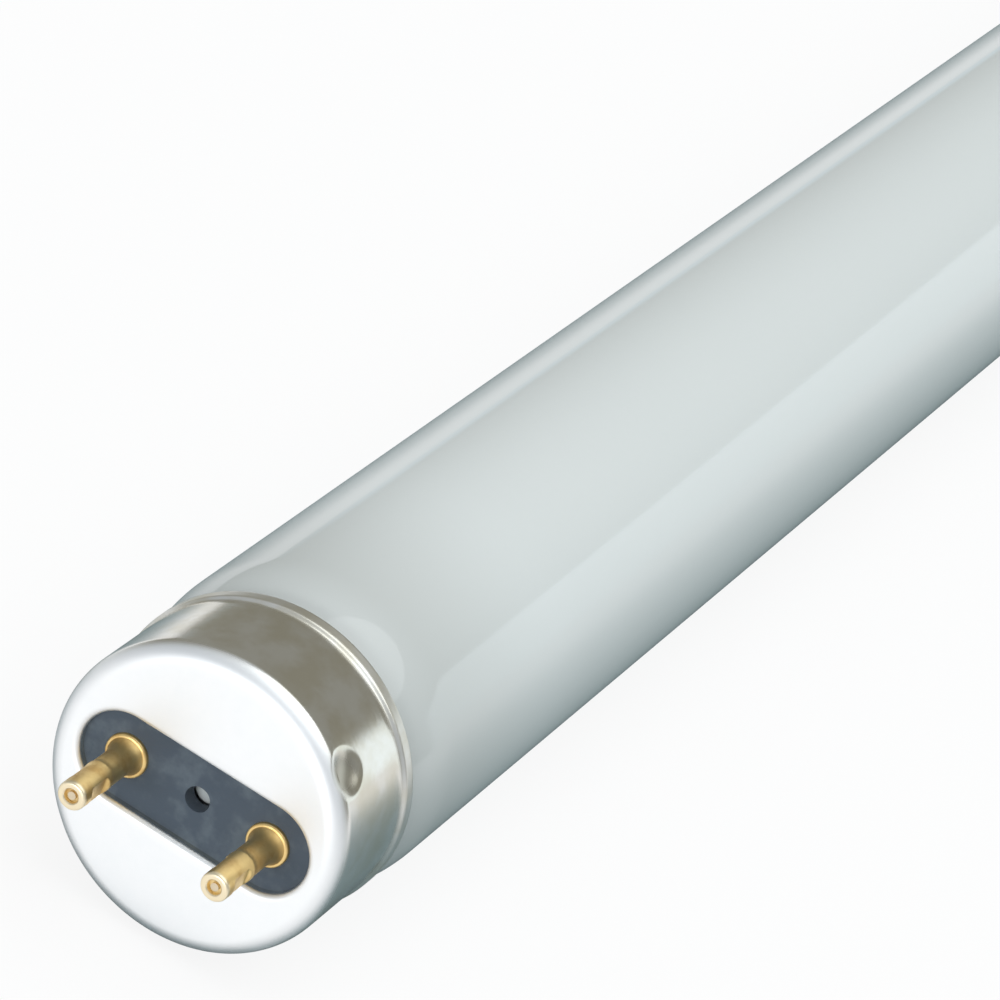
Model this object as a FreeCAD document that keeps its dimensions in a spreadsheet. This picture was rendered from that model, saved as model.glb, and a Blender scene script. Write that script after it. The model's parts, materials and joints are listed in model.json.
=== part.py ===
"""A straight fluorescent tube with a two-pin cap at each end, all sizes in millimetres.

The lamp lies along X with its middle at the origin, and both pins of an end lie on Y. Each cap is drawn in
an end frame: z = 0 on the cap's outer face, +z outwards along the pins, x along the pin line.
"""
import FreeCAD
import Part
import Sketcher

import math
import os
import re

SIZES = {
    # The lamp and its sealed glass
    "lamp_length": 589.8,      # from cap face to cap face
    "glass_d": 26.0,
    "glass_wall": 0.8,
    "shoulder_reach": 6.0,     # how far behind the cap the glass is back at its full diameter
    "shoulder_length": 10.2,
    "neck_d": 23.0,            # the glass inside the cap
    "glass_end_depth": 5.2,    # from the cap face to the end of the glass
    "end_round": 0.8,
    "fold_thick": 1.1,
    "well_mouth_d": 19.8,      # the stem is folded back into the tube and leaves a well
    "well_d": 8.8,
    "well_cone_depth": 14.0,
    "well_depth": 22.0,
    "press_thick": 3.0,
    "exhaust_d": 4.0,
    "exhaust_tip_depth": 2.4,
    # The drawn cap shell
    "cap_d": 24.9,             # the cap from its face to the sleeve around the glass neck
    "cap_height": 11.0,
    "cap_corner": 1.5,
    "sleeve_lead": 0.1,        # how far ahead of the glass the sleeve begins
    "sleeve_slope": 0.4,
    "shell_wall": 0.4,
    "lip_flare": 0.25,
    "lip_height": 1.0,
    "lip_slope": 0.4,
    "window_r": 3.7,
    "window_margin": 0.9,      # flat face left between the window and the rounded corner
    "window_roll": 0.5,
    "plate_recess": 0.9,       # how far the window's rolled edge reaches in, to the plate
    "dent_r": 1.95,
    "dent_depth": 0.5,
    "dent_offset": 2.2,        # from the cap face to the middle of a dent
    "dent_angle": 41.0,        # from the pin line
    "dent_count": 2,
    # The insulating plate
    "plate_thick": 1.4,
    "plate_gap": 0.3,
    "socket_gap": 0.02,
    "vent_d": 2.1,
    # The hollow pins
    "pin_spacing": 12.7,
    "pin_length": 7.4,         # beyond the cap face
    "pin_d": 2.3,
    "barrel_d": 2.42,          # the crimped half is a little wider
    "tip_d": 2.34,
    "tip_round": 0.25,
    "pin_bore_d": 1.2,
    "step_height": 3.1,        # where the wider half begins, above the cap face
    "step_slope": 0.2,
    "neck_top": 1.3,
    "collar_d": 3.6,
    "collar_edge": 0.4,
    "collar_round": 0.18,
    "tail_d": 3.4,
    "tail_height": 0.7,
    "tail_edge": 0.25,
    "crimp_low": 3.6,
    "crimp_high": 6.5,
    "crimp_slope": 0.35,
    "crimp_depth": 0.32,
    # The lead wires
    "lead_d": 0.66,
    "lead_recess": 0.15,
    "lead_drop": 0.3,
    "lead_sway": 5.5,
    "lead_stem_x": 3.1,
    # The capping cement, which fills the sleeve around the glass neck
    "cement_thick": 0.55,
    "cement_front": 6.6,
    "cement_back": 9.4,
}

doc = FreeCAD.newDocument("fluorescent_tube")
sheet = doc.addObject("Spreadsheet::Sheet", "sizes")
for row, (alias, number) in enumerate(SIZES.items(), start=1):
    sheet.set(f"A{row}", alias)
    sheet.set(f"B{row}", str(number))
    sheet.setAlias(f"B{row}", alias)
doc.recompute()

NAME = re.compile(r"\b(" + "|".join(SIZES) + r")\b")


def expression(text):
    """The text as an expression on the sheet."""
    return NAME.sub(r"<<sizes>>.\1", text)


def number(text):
    """What the expression gives now, for a sketch's first guess."""
    return float(sheet.evalExpression(expression(text)))


def bind(target, prop, text):
    target.setExpression(prop, expression(text))


def origin_feature(body, role):
    return next(f for f in body.Origin.OriginFeatures if f.Role == role)


def new_body(label, rotation, x, y="0"):
    """A body whose frame is turned into the lamp and whose place follows the sheet."""
    body = doc.addObject("PartDesign::Body", label)
    body.Label = label
    body.Placement = FreeCAD.Placement(FreeCAD.Vector(), rotation)
    bind(body, "Placement.Base.x", x)
    bind(body, "Placement.Base.y", y)
    return body


def new_sketch(body, role, label):
    sketch = body.newObject("Sketcher::SketchObject", label)
    sketch.AttachmentSupport = [(origin_feature(body, role), "")]
    sketch.MapMode = "FlatFace"
    return sketch


def fix_point(sketch, geometry, end, x, y):
    """Hold one point of a sketch at two expressions, measured from the sketch's origin."""
    for kind, text, axis in (("DistanceX", x, -2), ("DistanceY", y, -1)):
        here = number(text)
        if abs(here) < 1e-9:
            sketch.addConstraint(Sketcher.Constraint("PointOnObject", geometry, end, axis))
        elif here > 0:
            index = sketch.addConstraint(Sketcher.Constraint(kind, -1, 1, geometry, end, here))
            bind(sketch, f"Constraints[{index}]", text)
        else:
            index = sketch.addConstraint(Sketcher.Constraint(kind, geometry, end, -1, 1, -here))
            bind(sketch, f"Constraints[{index}]", f"-({text})")


def arc_between(start, end, radius, side):
    """The short arc between two points, bulging left of travel for side +1, and its ends in order."""
    chord = end - start
    left = FreeCAD.Vector(-chord.y, chord.x, 0).normalize()
    back = math.sqrt(max(radius * radius - chord.Length ** 2 / 4, 0.0))
    centre = (start + end) * 0.5 - left * (side * back)
    first, last = (end, start) if side > 0 else (start, end)
    angle = math.atan2(first.y - centre.y, first.x - centre.x)
    sweep = (math.atan2(last.y - centre.y, last.x - centre.x) - angle) % (2 * math.pi)
    circle = Part.Circle(centre, FreeCAD.Vector(0, 0, 1), radius)
    return Part.ArcOfCircle(circle, angle, angle + sweep), ((2, 1) if side > 0 else (1, 2))


def draw_path(sketch, corners, closed):
    """Lines and arcs through corners given as (x, y), or (x, y, radius, side) for an arc that ends there."""
    points = [FreeCAD.Vector(number(c[0]), number(c[1]), 0) for c in corners]
    first = 0 if closed else 1
    pieces = []
    for i in range(first, len(corners)):
        start, end, corner = points[i - 1], points[i], corners[i]
        if len(corner) == 4:
            curve, ends = arc_between(start, end, number(corner[2]), corner[3])
            index = sketch.addGeometry(curve, False)
        else:
            index = sketch.addGeometry(Part.LineSegment(start, end), False)
            ends = (1, 2)
        pieces.append((index, ends, corner))
    for i in range(first - 1 if closed else 0, len(pieces) - 1):
        before, after = pieces[i], pieces[i + 1]
        sketch.addConstraint(
            Sketcher.Constraint("Coincident", before[0], before[1][1], after[0], after[1][0]))
    if not closed:
        fix_point(sketch, pieces[0][0], pieces[0][1][0], corners[0][0], corners[0][1])
    for index, ends, corner in pieces:
        fix_point(sketch, index, ends[1], corner[0], corner[1])
    for index, ends, corner in pieces:
        if len(corner) == 4:
            held = sketch.addConstraint(Sketcher.Constraint("Radius", index, number(corner[2])))
            bind(sketch, f"Constraints[{held}]", corner[2])


def draw_circle(sketch, x, y, radius):
    spot = FreeCAD.Vector(number(x), number(y), 0)
    index = sketch.addGeometry(Part.Circle(spot, FreeCAD.Vector(0, 0, 1), number(radius)), False)
    fix_point(sketch, index, 3, x, y)
    held = sketch.addConstraint(Sketcher.Constraint("Radius", index, number(radius)))
    bind(sketch, f"Constraints[{held}]", radius)


def racetrack(sketch, radius):
    """Two half circles joined by straight sides, along the pin line."""
    half = WINDOW_HALF
    draw_path(sketch, [
        (f"-{half}", f"-({radius})", radius, -1),
        (half, f"-({radius})"),
        (f"{half} + {radius}", "0", radius, -1),
        (half, radius, radius, -1),
        (f"-{half}", radius),
        (f"-({half} + {radius})", "0", radius, -1),
    ], True)


def turned(body, sketch, axis="V_Axis"):
    """A full turn of the sketch around one of its own axes."""
    feature = body.newObject("PartDesign::Revolution", body.Name + "_turned")
    feature.Profile = sketch
    feature.ReferenceAxis = (sketch, [axis])
    feature.Angle = 360.0
    return feature


def pattern_around(body, feature):
    """Repeat a cut around the body's own z axis."""
    pattern = body.newObject("PartDesign::PolarPattern", feature.Name + "_ring")
    pattern.Originals = [feature]
    pattern.Axis = (origin_feature(body, "Z_Axis"), [""])
    pattern.Angle = 360.0
    bind(pattern, "Occurrences", "dent_count")
    body.Tip = pattern
    return pattern


# The sleeve fits around the glass neck with the cement between them
SLEEVE_R = "(neck_d / 2 + cement_thick + shell_wall)"
SLEEVE_START = "(glass_end_depth - sleeve_lead)"
WINDOW_HALF = "(cap_d / 2 - cap_corner - window_margin - window_r)"
DENT_BALL = "((dent_r ^ 2 + dent_depth ^ 2) / (2 * dent_depth))"
DENT_RADIUS = f"(cap_d / 2 + {DENT_BALL} - dent_depth)"


def cut_dents(body, swell, depth):
    """Ball cuts that stake the shell into the plate, swell added to the ball, depth below the body's z = 0."""
    ball = body.newObject("PartDesign::SubtractiveSphere", body.Name + "_dent")
    bind(ball, "Radius", f"{DENT_BALL} + {swell}")
    bind(ball, "Placement.Base.x", f"{DENT_RADIUS} * cos(dent_angle * 1 deg)")
    bind(ball, "Placement.Base.y", f"{DENT_RADIUS} * sin(dent_angle * 1 deg)")
    bind(ball, "Placement.Base.z", f"-({depth})")
    return pattern_around(body, ball)


def sunk(body, sketch, kind, length, symmetric=False):
    """A pad or pocket of one length, down from its sketch or to both sides of it."""
    feature = body.newObject("PartDesign::" + kind, sketch.Name + "_" + kind.lower())
    feature.Profile = sketch
    feature.Type = "Length"
    feature.SideType = "Symmetric" if symmetric else "One side"
    feature.Reversed = kind == "Pad" and not symmetric
    bind(feature, "Length", length)
    return feature


LIP_TOP = "cap_height - lip_height"


def shell_outline(body, inset, top, bottom):
    """The cap's outside, or its cavity when inset is the wall."""
    sketch = new_sketch(body, "XZ_Plane", body.Name + "_outline")
    wall = f"cap_d / 2 - {inset}"
    sleeve = f"{SLEEVE_R} - {inset}"
    lip = f"{SLEEVE_R} + lip_flare - {inset}"
    draw_path(sketch, [
        ("0", top),
        ("cap_d / 2 - cap_corner", top),
        (wall, "-cap_corner", f"cap_corner - {inset}", 1),
        (wall, f"-({SLEEVE_START} - sleeve_slope)"),
        (sleeve, f"-{SLEEVE_START}"),
        (sleeve, f"-({LIP_TOP} - lip_slope)"),
        (lip, f"-({LIP_TOP})"),
        (lip, f"-({bottom})"),
        ("0", f"-({bottom})"),
    ], True)
    return turned(body, sketch)


def window_edges(feature):
    """The window's mouth: the edges in the face plane that lie inside the window's own reach."""
    reach = number(f"{WINDOW_HALF} + window_r") + 1e-3
    names = []
    for index, edge in enumerate(feature.Shape.Edges, start=1):
        flat = edge.BoundBox.ZMin > -1e-6 and edge.BoundBox.ZMax < 1e-6
        if flat and all(math.hypot(v.X, v.Y) < reach for v in edge.Vertexes):
            names.append(f"Edge{index}")
    return names


def make_shell(label, turn, face):
    """Drawn aluminium: the outside less its cavity, which leaves wall, rolled window and staked dents."""
    outside = new_body(label + "_outside", turn, face)
    shell_outline(outside, "0", "0", "cap_height")
    cut_dents(outside, "0", "dent_offset")
    window = new_sketch(outside, "XY_Plane", label + "_window")
    racetrack(window, "window_r")
    opening = sunk(outside, window, "Pocket", "plate_recess * 2")
    doc.recompute()
    roll = outside.newObject("PartDesign::Fillet", label + "_roll")
    roll.Base = (opening, window_edges(opening))
    bind(roll, "Radius", "window_roll")

    cavity = new_body(label + "_cavity", turn, face)
    shell_outline(cavity, "shell_wall", "-shell_wall", "cap_height + shell_wall")
    cut_dents(cavity, "shell_wall", "dent_offset")
    flange = new_sketch(cavity, "XY_Plane", label + "_flange")
    racetrack(flange, "window_r + shell_wall")
    sunk(cavity, flange, "Pocket", "plate_recess")

    shell = doc.addObject("Part::Cut", label)
    shell.Label = label
    shell.Base = outside
    shell.Tool = cavity
    return shell


def make_plate(label, turn, face_sign):
    """The insulating disc: it lies on the window's rolled edge, and its sockets take the shell's dents."""
    body = new_body(label, turn, f"{face_sign}(lamp_length / 2 - plate_recess)")
    sketch = new_sketch(body, "XY_Plane", label + "_disc")
    draw_circle(sketch, "0", "0", "cap_d / 2 - shell_wall - plate_gap")
    draw_circle(sketch, "0", "0", "vent_d / 2")
    draw_circle(sketch, "pin_spacing / 2", "0", "pin_d / 2")
    draw_circle(sketch, "-pin_spacing / 2", "0", "pin_d / 2")
    sunk(body, sketch, "Pad", "plate_thick")
    cut_dents(body, "shell_wall + socket_gap", "dent_offset - plate_recess")
    return body


PLATE_BACK = "(plate_recess + plate_thick)"
COLLAR_TOP = "(collar_edge - plate_recess)"
NECK_WIDE = "(collar_d / 2 - collar_round - pin_d / 2)"
NECK_TALL = f"(neck_top - {COLLAR_TOP})"
NECK_SWEEP = f"({NECK_WIDE} ^ 2 + {NECK_TALL} ^ 2) / (2 * {NECK_WIDE})"


def crimp_jaws(sketch, near, far, slope):
    """Two wedges, one on each side of the pin, that lie between the crimp's two ends."""
    for side in ("", "-"):
        draw_path(sketch, [
            (f"{side}({near})", "crimp_low + crimp_slope"),
            (f"{side}({near})", "crimp_high - crimp_slope"),
            (f"{side}({far})", f"crimp_high - crimp_slope + {slope}"),
            (f"{side}({far})", f"crimp_low + crimp_slope - {slope}"),
        ], True)


def make_pin(label, turn, face, across):
    """A hollow brass pin: riveted tail, collar and swept neck, then the wider half crimped on to its wire."""
    body = new_body(label, turn, face, across)
    sketch = new_sketch(body, "XZ_Plane", label + "_outline")
    bore = "pin_bore_d / 2"
    shank = "pin_d / 2"
    draw_path(sketch, [
        (bore, "pin_length"),
        ("tip_d / 2 - tip_round", "pin_length"),
        ("tip_d / 2", "pin_length - tip_round", "tip_round", 1),
        ("barrel_d / 2", "step_height + step_slope"),
        (shank, "step_height"),
        (shank, "neck_top"),
        ("collar_d / 2 - collar_round", COLLAR_TOP, NECK_SWEEP, -1),
        ("collar_d / 2", f"{COLLAR_TOP} - collar_round", "collar_round", 1),
        ("collar_d / 2", "-plate_recess"),
        (shank, "-plate_recess"),
        (shank, f"-{PLATE_BACK}"),
        ("tail_d / 2", f"-{PLATE_BACK}"),
        ("tail_d / 2", f"-({PLATE_BACK} + tail_edge)"),
        (bore, f"-({PLATE_BACK} + tail_height)"),
    ], True)
    turned(body, sketch)
    flat = "barrel_d / 2 - crimp_depth"
    flats = new_sketch(body, "XZ_Plane", label + "_flats")
    crimp_jaws(flats, flat, "barrel_d / 2 + crimp_depth", "2 * crimp_slope")
    sunk(body, flats, "Pocket", "barrel_d * 1.5", True)
    grip = new_sketch(body, "XZ_Plane", label + "_grip")
    crimp_jaws(grip, "lead_d / 2", f"({flat} + {bore}) / 2", "crimp_slope")
    sunk(body, grip, "Pad", "pin_bore_d", True)
    return body


LEAD_TOP = "pin_length - lead_recess"
SWAY_TOP = f"({PLATE_BACK} + tail_height + lead_drop)"
SWAY_X = "(pin_spacing / 2 - lead_stem_x)"
SWAY_R = f"(lead_sway ^ 2 + {SWAY_X} ^ 2) / (4 * {SWAY_X})"


def make_lead(label, turn, face, across):
    """One wire from the floor of the glass well, swayed out to the pin and up its bore to the tip."""
    body = new_body(label, turn, face, across)
    path = new_sketch(body, "XZ_Plane", label + "_path")
    draw_path(path, [
        ("0", LEAD_TOP),
        ("0", f"-{SWAY_TOP}"),
        (f"-{SWAY_X} / 2", f"-({SWAY_TOP} + lead_sway / 2)", SWAY_R, 1),
        (f"-{SWAY_X}", f"-({SWAY_TOP} + lead_sway)", SWAY_R, -1),
        (f"-{SWAY_X}", "-well_depth"),
    ], False)
    section = new_sketch(body, "XY_Plane", label + "_section")
    bind(section, "AttachmentOffset.Base.z", LEAD_TOP)
    draw_circle(section, "0", "0", "lead_d / 2")
    doc.recompute()
    wire = body.newObject("PartDesign::AdditivePipe", label + "_wire")
    wire.Profile = section
    wire.Spine = (path, [f"Edge{i + 1}" for i in range(4)])
    return body


def make_glass(label):
    """The sealed glass, one solid: tube, shoulders, necks, folded-in stems and their exhaust tips."""
    body = new_body(label, FreeCAD.Rotation(), "0")
    sketch = new_sketch(body, "XZ_Plane", label + "_section")

    def at(depth):
        return f"-(lamp_length / 2 - ({depth}))"

    full = "glass_d / 2"
    neck = "neck_d / 2"
    drop = "((glass_d - neck_d) / 2)"
    bend = f"(shoulder_length ^ 2 + {drop} ^ 2) / (4 * {drop})"
    start = "cap_height + shoulder_reach"
    stem = "well_d / 2 + glass_wall"
    draw_path(sketch, [
        ("0", full),
        (at(start), full),
        (at(f"{start} - shoulder_length / 2"), f"{full} - {drop} / 2", bend, -1),
        (at(f"{start} - shoulder_length"), neck, bend, 1),
        (at("glass_end_depth + end_round"), neck),
        (at("glass_end_depth"), f"{neck} - end_round", "end_round", -1),
        (at("glass_end_depth"), "well_mouth_d / 2"),
        (at("well_cone_depth"), "well_d / 2"),
        (at("well_depth"), "well_d / 2"),
        (at("well_depth"), "exhaust_d / 2"),
        (at("exhaust_tip_depth + exhaust_d / 2"), "exhaust_d / 2"),
        (at("exhaust_tip_depth"), "0", "exhaust_d / 2", -1),
        (at("well_depth + press_thick"), "0"),
        (at("well_depth + press_thick"), stem),
        (at("well_cone_depth + fold_thick"), stem),
        (at("glass_end_depth + fold_thick"), f"{neck} - glass_wall"),
        (at(f"{start} - shoulder_length"), f"{neck} - glass_wall"),
        (at(f"{start} - shoulder_length / 2"), f"{full} - {drop} / 2 - glass_wall", bend, -1),
        (at(start), f"{full} - glass_wall", bend, 1),
        ("0", f"{full} - glass_wall"),
    ], True)
    half = turned(body, sketch, "H_Axis")
    whole = body.newObject("PartDesign::Mirrored", label + "_whole")
    whole.Originals = [half]
    whole.MirrorPlane = (origin_feature(body, "YZ_Plane"), [""])
    body.Tip = whole
    return body


def make_cement(label, turn, face, glass):
    """The ring of cement between shell and neck: a plain ring to the shell's wall, less the glass itself."""
    ring = new_body(label + "_ring", turn, face)
    sketch = new_sketch(ring, "XZ_Plane", label + "_outline")
    inner = "neck_d / 2 - glass_wall / 2"
    outer = f"{SLEEVE_R} - shell_wall"
    draw_path(sketch, [(inner, "-cement_front"), (outer, "-cement_front"),
                       (outer, "-cement_back"), (inner, "-cement_back")], True)
    turned(ring, sketch)
    cement = doc.addObject("Part::Cut", label)
    cement.Label = label
    cement.Base = ring
    cement.Tool = glass
    return cement


rear_turn = FreeCAD.Rotation(FreeCAD.Vector(1, 1, 1), 120)
half_turn = FreeCAD.Rotation(FreeCAD.Vector(0, 0, 1), 180)
ENDS = {"front": ("-", half_turn.multiply(rear_turn)), "rear": ("", rear_turn)}
SIDES = {"left": "", "right": "-"}

glass = make_glass("glass_tube")
nodes = [glass]
for end, (sign, turn) in ENDS.items():
    face = f"{sign}(lamp_length / 2)"
    nodes.append(make_shell(end + "_cap_shell", turn, face))
    nodes.append(make_plate(end + "_insulator_plate", turn, sign))
    nodes.append(make_cement(end + "_cap_cement", turn, face, glass))
    for side, y_sign in SIDES.items():
        # a pin's own x points away from the lamp's axis
        pin_turn = turn if y_sign == sign else turn.multiply(half_turn)
        across = f"{y_sign}(pin_spacing / 2)"
        nodes.append(make_pin(f"{end}_pin_{side}", pin_turn, face, across))
        nodes.append(make_lead(f"{end}_lead_{side}", pin_turn, face, across))
doc.recompute()

for item in doc.Objects:
    if "Invalid" in item.State or "Error" in item.State:
        raise RuntimeError(f"{item.Label} did not compute: {item.State}")
os.makedirs("parts", exist_ok=True)
for node in nodes:
    shape = node.Shape
    if shape.isNull() or not shape.isValid() or len(shape.Solids) != 1:
        raise RuntimeError(f"{node.Label} is not one valid solid")
    shape.exportStep(f"parts/{node.Label}.step")
    print(f"{node.Label}: {shape.Volume:.2f} mm3")
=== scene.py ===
# %% [markdown]
# A straight fluorescent tube with a two-pin cap at each end. The solids come packed in one frame: X runs
# along the lamp, the two pins of an end lie on Y, Z is up. This lesson dresses that frame. Round pieces get
# finer skins of the same form, because highlights on glass and polished metal show every facet, and small
# flat pieces keep their solids.

# %% Load the frame
import json
import math

import bmesh
import bpy
import numpy as np
from mathutils import Matrix, Vector

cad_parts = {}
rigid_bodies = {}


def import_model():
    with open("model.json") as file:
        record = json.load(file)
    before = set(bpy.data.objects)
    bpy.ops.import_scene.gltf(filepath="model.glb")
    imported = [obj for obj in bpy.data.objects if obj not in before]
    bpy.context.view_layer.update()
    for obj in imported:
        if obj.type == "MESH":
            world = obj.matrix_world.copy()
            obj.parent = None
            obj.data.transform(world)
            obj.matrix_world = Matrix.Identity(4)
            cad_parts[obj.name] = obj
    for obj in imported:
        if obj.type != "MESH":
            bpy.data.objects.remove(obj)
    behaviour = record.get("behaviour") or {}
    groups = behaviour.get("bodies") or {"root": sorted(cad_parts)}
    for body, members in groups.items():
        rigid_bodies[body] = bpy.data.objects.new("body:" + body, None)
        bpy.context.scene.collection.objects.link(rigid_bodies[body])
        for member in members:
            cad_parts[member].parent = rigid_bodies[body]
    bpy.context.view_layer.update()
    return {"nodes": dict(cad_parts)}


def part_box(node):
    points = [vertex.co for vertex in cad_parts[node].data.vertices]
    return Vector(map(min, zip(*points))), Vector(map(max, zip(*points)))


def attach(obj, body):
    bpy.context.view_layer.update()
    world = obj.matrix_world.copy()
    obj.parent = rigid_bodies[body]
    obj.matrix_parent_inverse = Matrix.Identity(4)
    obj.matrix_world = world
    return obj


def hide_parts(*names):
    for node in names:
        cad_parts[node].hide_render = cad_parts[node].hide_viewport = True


for item in list(bpy.data.objects):
    bpy.data.objects.remove(item)
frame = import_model()

# %% [markdown]
# The skins have to fit the solids. Their main sizes could be typed again, but then they would drift apart
# at the first change, so they are read from the frame. What a box can't tell, such as the radius of a
# rounded corner, is written in millimetres where it is first needed.

# %% Read the main sizes
MM = 0.001
shell_low, shell_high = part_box("rear_cap_shell")
glass_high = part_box("glass_tube")[1]
plate_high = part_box("rear_insulator_plate")[1]
pin_low, pin_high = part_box("rear_pin_left")

face_x = shell_high.x
rim_x = shell_low.x
lip_radius = shell_high.z
tube_radius = glass_high.z
exhaust_tip_x = glass_high.x
plate_depth = face_x - plate_high.x
pin_end_x = pin_high.x
pin_middle = (pin_low.y + pin_high.y) / 2
print("cap height:", round((face_x - rim_x) / MM, 2), "pin spacing:", round(2 * pin_middle / MM, 2))


# %% [markdown]
# Node trees are easier to read as sums than as boxes and wires. They could be linked by hand, node by node.
# This class wraps one socket instead, so that plain operators add Math nodes, also with a number on the
# left as in 1 - mask. The same nodes work in materials, in geometry and in the room around the lamp.

# %% A socket that can be used in sums
class Wire:
    def __init__(self, tree, socket):
        self.tree = tree
        self.socket = socket

    def math(self, operation, *values):
        return add_node(self.tree, "ShaderNodeMath", {"operation": operation}, dict(enumerate(values)))

    def __add__(self, other):
        return self.math("ADD", self, other)

    def __sub__(self, other):
        return self.math("SUBTRACT", self, other)

    def __rsub__(self, other):
        return self.math("SUBTRACT", other, self)

    def __mul__(self, other):
        return self.math("MULTIPLY", self, other)

    def __truediv__(self, other):
        return self.math("DIVIDE", self, other)

    def __pow__(self, other):
        return self.math("POWER", self, other)

    def __gt__(self, other):
        return self.math("GREATER_THAN", self, other)

    def __abs__(self):
        return self.math("ABSOLUTE", self)

    def low(self, other):
        return self.math("MINIMUM", self, other)

    def high(self, other):
        return self.math("MAXIMUM", self, other)

    def of(self, operation):
        return self.math(operation, self)

    __radd__ = __add__
    __rmul__ = __mul__


print("reflected forms:", [name for name in vars(Wire) if name.startswith("__r")])


# %% [markdown]
# Every node comes from one function: its type, its settings, which are set first because they can change
# the sockets, and then the values or wires of its sockets. Most nodes give one wire. Where a list of
# outputs is asked for, a list of wires comes back, and a slot that takes many links gets a list.

# %% Any node
def plug(tree, slot, value):
    """Link a wire or a list of wires to a slot, or set the slot's own value."""
    if isinstance(value, Wire):
        tree.links.new(value.socket, slot)
    elif isinstance(value, list):
        for wire in value:
            tree.links.new(wire.socket, slot)
    else:
        slot.default_value = value


def add_node(tree, kind, settings=None, sockets=None, out=0):
    node = tree.nodes.new(kind)
    for key, value in (settings or {}).items():
        setattr(node, key, value)
    for key, value in (sockets or {}).items():
        plug(tree, node.inputs[key], value)
    if isinstance(out, list):
        return [Wire(tree, node.outputs[key]) for key in out]
    return Wire(tree, node.outputs[out])


print("node tools:", [tool.__name__ for tool in (plug, add_node)])


# %% [markdown]
# Four small recipes come back again and again: a soft step, a colour between two colours, a cloud of noise,
# and a place taken apart into its three numbers. Node groups could hold them, but functions keep each
# finish readable in one piece.

# %% Recipes for finishes
def rise(tree, value, start, end):
    """A soft step from 0 at start to 1 at end."""
    ends = {"Value": value, "From Min": start, "From Max": end}
    return add_node(tree, "ShaderNodeMapRange", {"interpolation_type": "SMOOTHSTEP"}, ends)


def blend(tree, share, first, second):
    """A colour between two colours."""
    def colour(value):
        return value if isinstance(value, Wire) else (*value, 1.0)
    return add_node(tree, "ShaderNodeMix", {"data_type": "RGBA"},
                    {0: share, 6: colour(first), 7: colour(second)}, out=2)


def cloud(tree, where, scale, detail, stretch=None):
    """Noise between 0 and 1 on a place, stretched along some axes."""
    if stretch is not None:
        where = add_node(tree, "ShaderNodeMapping", {}, {"Vector": where, "Scale": stretch})
    return add_node(tree, "ShaderNodeTexNoise", {}, {"Vector": where, "Scale": scale, "Detail": detail})


def split(tree, place):
    """The three numbers of a place."""
    return add_node(tree, "ShaderNodeSeparateXYZ", {}, {0: place}, out=["X", "Y", "Z"])


print("recipes:", [tool.__name__ for tool in (rise, blend, cloud, split)])


# %% [markdown]
# A finish is a Principled shader whose fixed numbers sit on its own sockets, where the export can read
# them. The place on the object comes from Object coordinates, turned into millimetres, so that pattern
# sizes read like the drawing. Fine relief is a bump, because real geometry for marks of a few thousandths
# of a millimetre would be wasted.

# %% Start a finish
def new_finish(name, **fixed):
    """A new material, its tree, its shader and the place on the object in millimetres."""
    finish = bpy.data.materials.new(name)
    finish.use_nodes = True
    tree = finish.node_tree
    shader = tree.nodes["Principled BSDF"]
    for key, value in fixed.items():
        shader.inputs[key.replace("_", " ")].default_value = value
    place = add_node(tree, "ShaderNodeTexCoord", out="Object")
    place = add_node(tree, "ShaderNodeVectorMath", {"operation": "SCALE"},
                     {"Vector": place, "Scale": 1 / MM})
    return finish, tree, shader, place


def emboss(tree, shader, height, depth_mm):
    """A bump whose height is given as a share of a depth in millimetres."""
    relief = add_node(tree, "ShaderNodeBump", {},
                      {"Height": height, "Distance": depth_mm * MM, "Strength": 1.0})
    plug(tree, shader.inputs["Normal"], relief)


print("finish tools:", [tool.__name__ for tool in (new_finish, emboss)])

# %% [markdown]
# The white of the tube is a powder on the inside of clear glass. Two skins, clear over white, would be
# truer but slow and noisy. A dull pale body under a glossy clear coat looks much the same, and Coat Weight
# gives it. Near the caps the powder is a little thinner and greyer, and fine grain keeps the body from
# looking like plastic.

# %% Coated glass
POWDER = (0.772, 0.812, 0.806)
PALER_POWDER = (0.795, 0.83, 0.822)
POWDER_GRAIN = (0.70, 0.735, 0.72)
THIN_POWDER = (0.585, 0.61, 0.595)
thin_reach = 26.0

coated_glass, tree, shader, place = new_finish(
    "coated glass", Roughness=0.6, Coat_Weight=0.9, Coat_Roughness=0.06, Coat_IOR=1.5, IOR=1.15)
from_rim = rim_x / MM - abs(split(tree, place)[0])
near_cap = (1 - rise(tree, from_rim, 0.5, thin_reach)) * rise(tree, from_rim, -6.0, -4.0)
grain = cloud(tree, place, 1.6, 4.0)
drift = cloud(tree, place, 0.03, 2.0)
body = blend(tree, drift, POWDER, PALER_POWDER)
body = blend(tree, grain * 0.12, body, POWDER_GRAIN)
body = blend(tree, near_cap * 0.8, body, THIN_POWDER)
plug(tree, shader.inputs["Base Color"], body)
print("finish:", coated_glass.name, "with", len(tree.nodes), "nodes")


# %% [markdown]
# The cap is drawn aluminium. Its face is satin and bright. Its side is polished, with a warm stain and
# faint marks around it from being drawn and handled. It is duller where a tool bent its lip and in its
# dents,
# which also get painted shade: a darker colour in their hollows. Face and side could be two materials with a
# hard border between them. One finish holds all of it, parted by the distance from the face, the axis and
# the dents, so that each border is soft. First come those distances.

# %% Zones of the cap
dent_turn = math.radians(41)
dent_middle = 2.2 * MM
window_reach = 10.3


def distance(first, second):
    """How far away a place is whose two offsets are given."""
    return (first * first + second * second).of("SQRT")


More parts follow.
